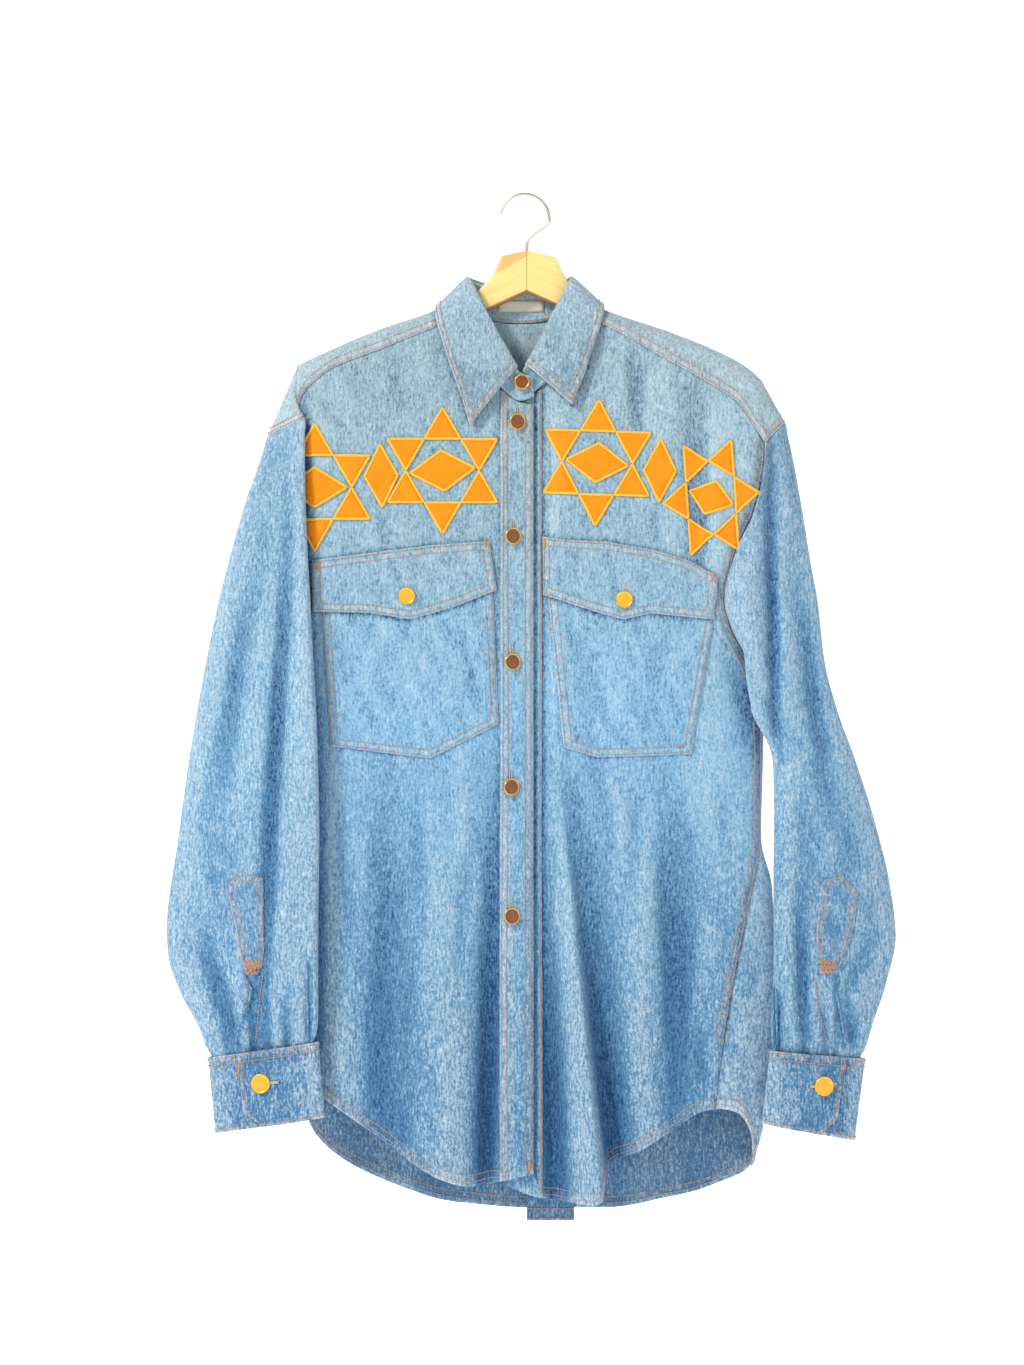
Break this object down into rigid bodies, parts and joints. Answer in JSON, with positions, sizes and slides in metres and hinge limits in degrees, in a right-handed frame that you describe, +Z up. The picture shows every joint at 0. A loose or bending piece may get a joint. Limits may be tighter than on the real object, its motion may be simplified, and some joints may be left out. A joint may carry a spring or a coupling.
{
  "type": "western shirt on a hanger",
  "caption": "Long-sleeved button-up denim western shirt with a band of orange star patches across the chest, two flap pockets and a curved hem, on a wooden hanger with a wire hook.",
  "frame": {"origin": "the point under the hook's crest where the hanger rests on its nail or rod", "axes": "+Z up along the shirt's length, -Y towards the viewer of the shirt's front, +X towards the wearer's left sleeve"},
  "size_m": [0.6891, 0.0815, 0.9784],
  "materials": {
    "denim": "washed light blue denim with tan double stitching, paler at the top",
    "orange_patch": "orange cotton patches edged with raised yellow satin stitches",
    "copper_button": "copper brown face with a gold rim",
    "amber_button": "glossy yellow-orange face in a thin pale rim",
    "label_cloth": "blank off-white woven label",
    "hanger_wood": "pale lacquered wood",
    "hook_steel": "bright plated wire"
  },
  "bodies": {
    "root": {"back": "denim", "back_pleat": "denim", "button_1": "copper_button", "button_2": "copper_button", "button_3": "copper_button", "button_4": "copper_button", "button_5": "copper_button", "button_6": "copper_button", "button_band": "denim", "collar": "denim", "collar_stand": "denim", "cuff_button_left": "amber_button", "cuff_button_right": "amber_button", "cuff_left": "denim", "cuff_right": "denim", "flap_left": "denim", "flap_right": "denim", "front_left": "denim", "front_right": "denim", "hanger_hook": "hook_steel", "hanger_wood": "hanger_wood", "lozenge_left": "orange_patch", "lozenge_right": "orange_patch", "lozenge_side_left": "orange_patch", "lozenge_side_right": "orange_patch", "neck_label": "label_cloth", "placket": "denim", "pocket_button_left": "amber_button", "pocket_button_right": "amber_button", "pocket_left": "denim", "pocket_right": "denim", "sleeve_left": "denim", "sleeve_placket_left": "denim", "sleeve_placket_right": "denim", "sleeve_right": "denim", "star_left": "orange_patch", "star_right": "orange_patch", "star_side_left": "orange_patch", "star_side_right": "orange_patch", "upright_lozenge_left": "orange_patch", "upright_lozenge_right": "orange_patch", "yoke": "denim"}
  },
  "joints": []
}
